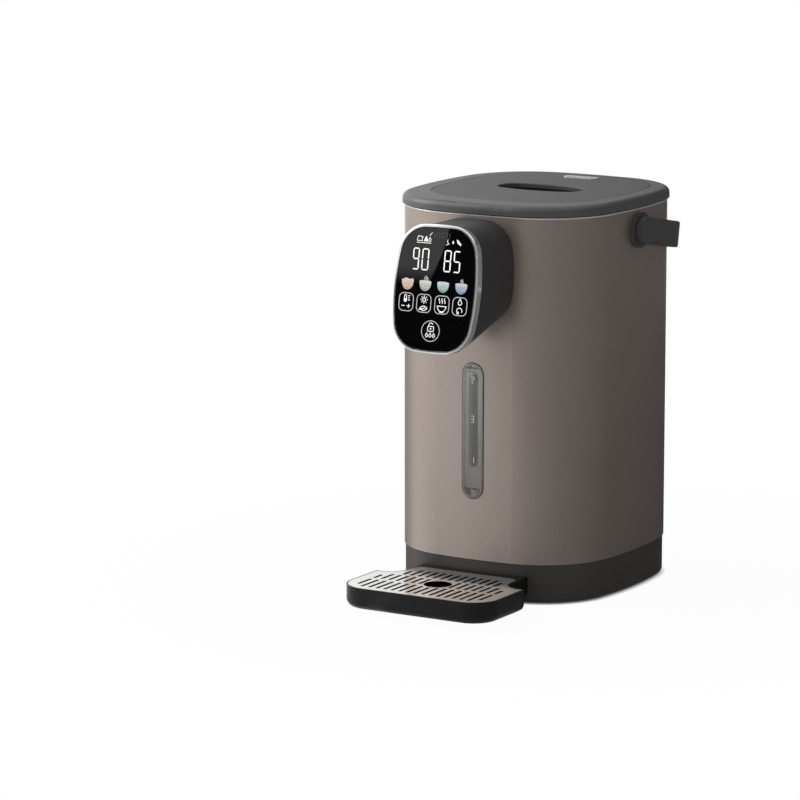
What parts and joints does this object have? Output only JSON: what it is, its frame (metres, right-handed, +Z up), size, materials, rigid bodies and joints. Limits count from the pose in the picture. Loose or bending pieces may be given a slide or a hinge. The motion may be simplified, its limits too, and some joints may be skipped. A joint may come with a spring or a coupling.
{
  "type": "hot water dispenser",
  "caption": "Electric hot water dispenser: oval steel body, front control head with display over a drip tray, level window, lift-off lid and rear bail handle.",
  "frame": {"origin": "on the table, under the upright axis of the body", "axes": "+Z up, -Y towards the control head and drip tray, +Y towards the mains inlet, +X to the right seen from the front"},
  "size_m": [0.223, 0.3502, 0.348],
  "materials": {
    "sleeve_steel": "satin metallic taupe coating",
    "base_abs": "fine moulded grain",
    "rim_abs": "satin moulded",
    "lid_abs": "fine moulded grain",
    "lid_base_plastic": "moulded",
    "head_abs": "satin moulded",
    "spout_abs": "gloss moulded",
    "handle_abs": "satin moulded",
    "tray_abs": "gloss moulded",
    "foot_rubber": "matte",
    "grille_steel": "polished sheet",
    "bezel_chrome": "polished plating",
    "vent_chrome": "polished plating",
    "panel_glass": "black backed touch glass",
    "smoked_lens": "clear smoked lens",
    "window_backing": "moulded",
    "clear_tube": "clear tube",
    "pot_steel": "drawn stainless sheet",
    "bracket_steel": "plated sheet",
    "motor_steel": "plated can",
    "screw_steel": "plated",
    "heater_aluminium": "cast",
    "terminal_phenolic": "moulded",
    "insulation_felt": "felted fibre",
    "silicone": "translucent silicone",
    "pump_plastic": "moulded",
    "circuit_board": "coated board",
    "inlet_nylon": "moulded",
    "blade_brass": "plain",
    "lead_insulation": "extruded"
  },
  "bodies": {
    "root": {"outer_shell": "sleeve_steel", "base_housing": "base_abs", "base_cover": "base_abs", "feet": "foot_rubber", "base_screws": "screw_steel", "top_ring": "rim_abs", "ring_screws": "screw_steel", "pot_support_ring": "pot_steel", "pot_gasket": "silicone", "inner_pot": "pot_steel", "insulation_jacket": "insulation_felt", "heater_plate": "heater_aluminium", "thermostat": "terminal_phenolic", "pump_motor": "motor_steel", "pump_body": "pump_plastic", "pump_cover": "pump_plastic", "pump_screws": "screw_steel", "outlet_tee": "pump_plastic", "level_hose": "silicone", "level_tube": "clear_tube", "vent_hose": "silicone", "level_holder": "window_backing", "window_lens": "smoked_lens", "riser_tube": "silicone", "spout_nozzle": "spout_abs", "head_housing": "head_abs", "head_bezel": "bezel_chrome", "display_glass": "panel_glass", "display_board": "circuit_board", "display_screws": "screw_steel", "head_bracket": "bracket_steel", "head_screws": "screw_steel", "handle_pivot_left": "handle_abs", "handle_pivot_right": "handle_abs", "pivot_screws": "screw_steel", "power_inlet": "inlet_nylon", "inlet_blades": "blade_brass", "control_board": "circuit_board", "board_screws": "screw_steel", "mains_leads": "lead_insulation", "heater_leads": "lead_insulation", "pump_leads": "lead_insulation", "display_cable": "lead_insulation"},
    "lid": {"lid_shell": "lid_abs", "lid_base": "lid_base_plastic", "lid_screws": "screw_steel", "lid_gasket": "silicone", "lid_liner": "pot_steel", "steam_vent": "vent_chrome"},
    "handle": {"handle_bail": "handle_abs"},
    "tray": {"drip_tray": "tray_abs"},
    "grille": {"drip_grille": "grille_steel"},
    "rotor": {"pump_rotor": "pump_plastic"}
  },
  "joints": [
    {"name": "lid_lift", "type": "slide", "parent": "root", "child": "lid", "axis": [0, 0, 1], "range_m": [0, 0.06]},
    {"name": "handle_swing", "type": "hinge", "parent": "root", "child": "handle", "pos_m": [0, -0.0015, 0.318], "axis": [1, 0, 0], "range_deg": [0, 100]},
    {"name": "tray_slide", "type": "slide", "parent": "root", "child": "tray", "axis": [0, -1, 0], "range_m": [0, 0.06]},
    {"name": "grille_lift", "type": "slide", "parent": "tray", "child": "grille", "axis": [0, 0, 1], "range_m": [0, 0.04]},
    {"name": "rotor_spin", "type": "hinge", "parent": "root", "child": "rotor", "pos_m": [0, -0.062, 0.04], "axis": [0, 0, 1], "continuous": true}
  ]
}
